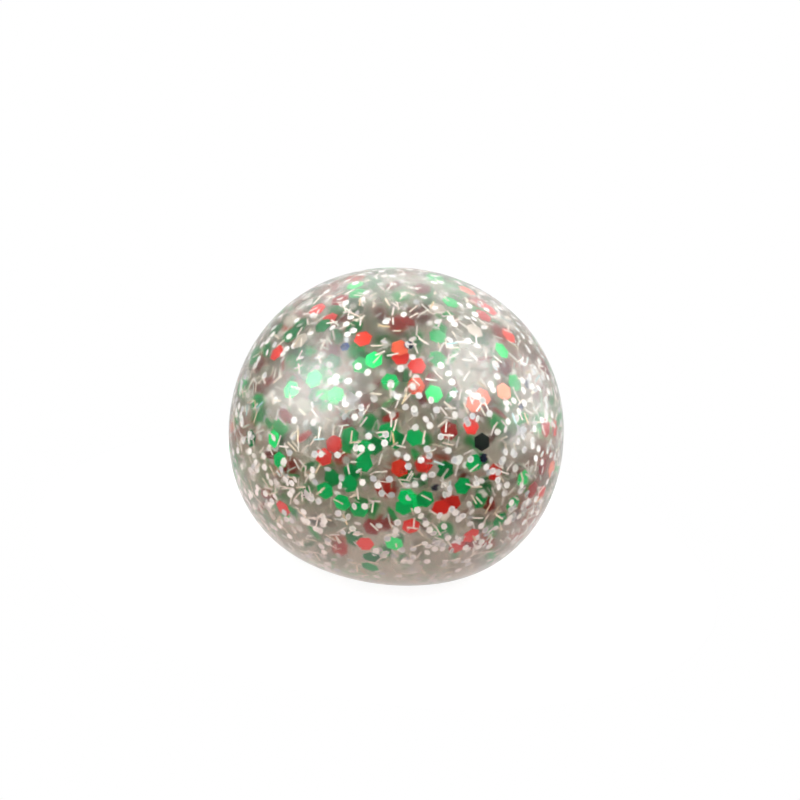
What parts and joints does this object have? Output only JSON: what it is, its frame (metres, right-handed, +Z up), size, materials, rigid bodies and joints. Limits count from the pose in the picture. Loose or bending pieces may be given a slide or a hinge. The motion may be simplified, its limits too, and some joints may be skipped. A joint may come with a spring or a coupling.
{
  "type": "glitter squeeze ball",
  "caption": "Soft clear squeeze ball resting on a flattened foot, filled with gel that carries green, red and silver foil glitter, with a sealed filler plug underneath.",
  "frame": {"origin": "middle of the flat foot patch, at the level of the table", "axes": "+Z straight up through the crown; the ball is round about Z, and its pictured side faces -Y"},
  "size_m": [0.07, 0.07, 0.0615],
  "materials": {
    "clear_skin": "clear soft rubber, glossy with a slight haze",
    "plug_rubber": "translucent soft rubber",
    "sealant": "clear sealant",
    "clear_gel": "clear gel with a faint warm grey tint",
    "green_foil": "metallic film",
    "red_foil": "metallic film",
    "silver_foil": "metallic film",
    "bright_foil": "metallic film",
    "white_foil": "pearl film",
    "navy_foil": "metallic film",
    "cream_foil": "metallic film"
  },
  "bodies": {
    "skin": {"outer_skin": "clear_skin", "filler_plug": "plug_rubber", "plug_seal": "sealant"},
    "gel": {"gel_fill": "clear_gel"},
    "glitter": {"green_hexes": "green_foil", "red_hexes": "red_foil", "silver_hexes": "silver_foil", "silver_stars": "bright_foil", "white_dots": "white_foil", "navy_dots": "navy_foil", "silver_strips": "cream_foil"}
  },
  "joints": [
    {"name": "squeeze", "type": "slide", "parent": "skin", "child": "gel", "axis": [0, 0, -1], "range_m": [0, 0.0105], "stiffness_N_per_m": 3300, "springref_m": -0.0005, "deforming": ["outer_skin", "gel_fill"]},
    {"name": "swirl", "type": "hinge", "parent": "gel", "child": "glitter", "pos_m": [0, 0, 0.03], "axis": [0, 0, 1], "continuous": true}
  ]
}
